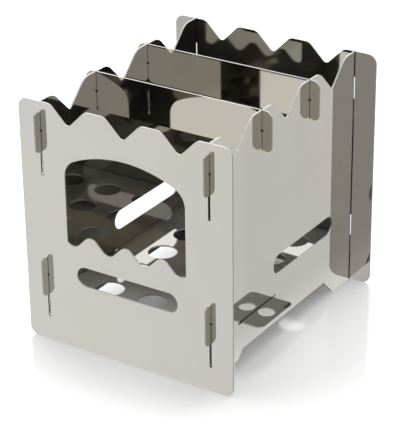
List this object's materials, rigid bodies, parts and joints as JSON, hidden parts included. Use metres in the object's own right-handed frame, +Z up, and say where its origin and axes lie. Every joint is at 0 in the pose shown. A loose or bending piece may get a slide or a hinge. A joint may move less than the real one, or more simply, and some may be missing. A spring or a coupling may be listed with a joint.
{
  "type": "twig stove",
  "caption": "Flat-pack twig stove of hooked polished steel sheets with an arched fuel window, notched top edges, lift-out cross bars and a perforated floor plate.",
  "frame": {"origin": "centre of the stove's footprint on the ground, hooks included", "axes": "+Z up; +Y from the front panel with the window to the back panel; +X to the right as seen from the front"},
  "size_m": [0.1494, 0.18, 0.16],
  "materials": {
    "panel_steel": "mirror-polished stainless steel",
    "side_steel": "mirror-polished stainless steel",
    "plate_steel": "polished stainless steel",
    "bar_steel": "polished stainless steel"
  },
  "bodies": {
    "back": {"back_panel": "panel_steel"},
    "side_frame": {"left_side": "side_steel", "right_side": "side_steel", "floor_plate": "plate_steel"},
    "front": {"front_panel": "panel_steel"},
    "front_bar": {"front_cross_bar": "bar_steel"},
    "rear_bar": {"rear_cross_bar": "bar_steel"}
  },
  "joints": [
    {"name": "side_frame_lift", "type": "slide", "parent": "back", "child": "side_frame", "axis": [0, 0, 1], "range_m": [0, 0.015]},
    {"name": "front_panel_lift", "type": "slide", "parent": "side_frame", "child": "front", "axis": [0, 0, 1], "range_m": [0, 0.0157]},
    {"name": "front_bar_lift", "type": "slide", "parent": "side_frame", "child": "front_bar", "axis": [0, 0, 1], "range_m": [0, 0.03]},
    {"name": "rear_bar_lift", "type": "slide", "parent": "side_frame", "child": "rear_bar", "axis": [0, 0, 1], "range_m": [0, 0.03]}
  ]
}
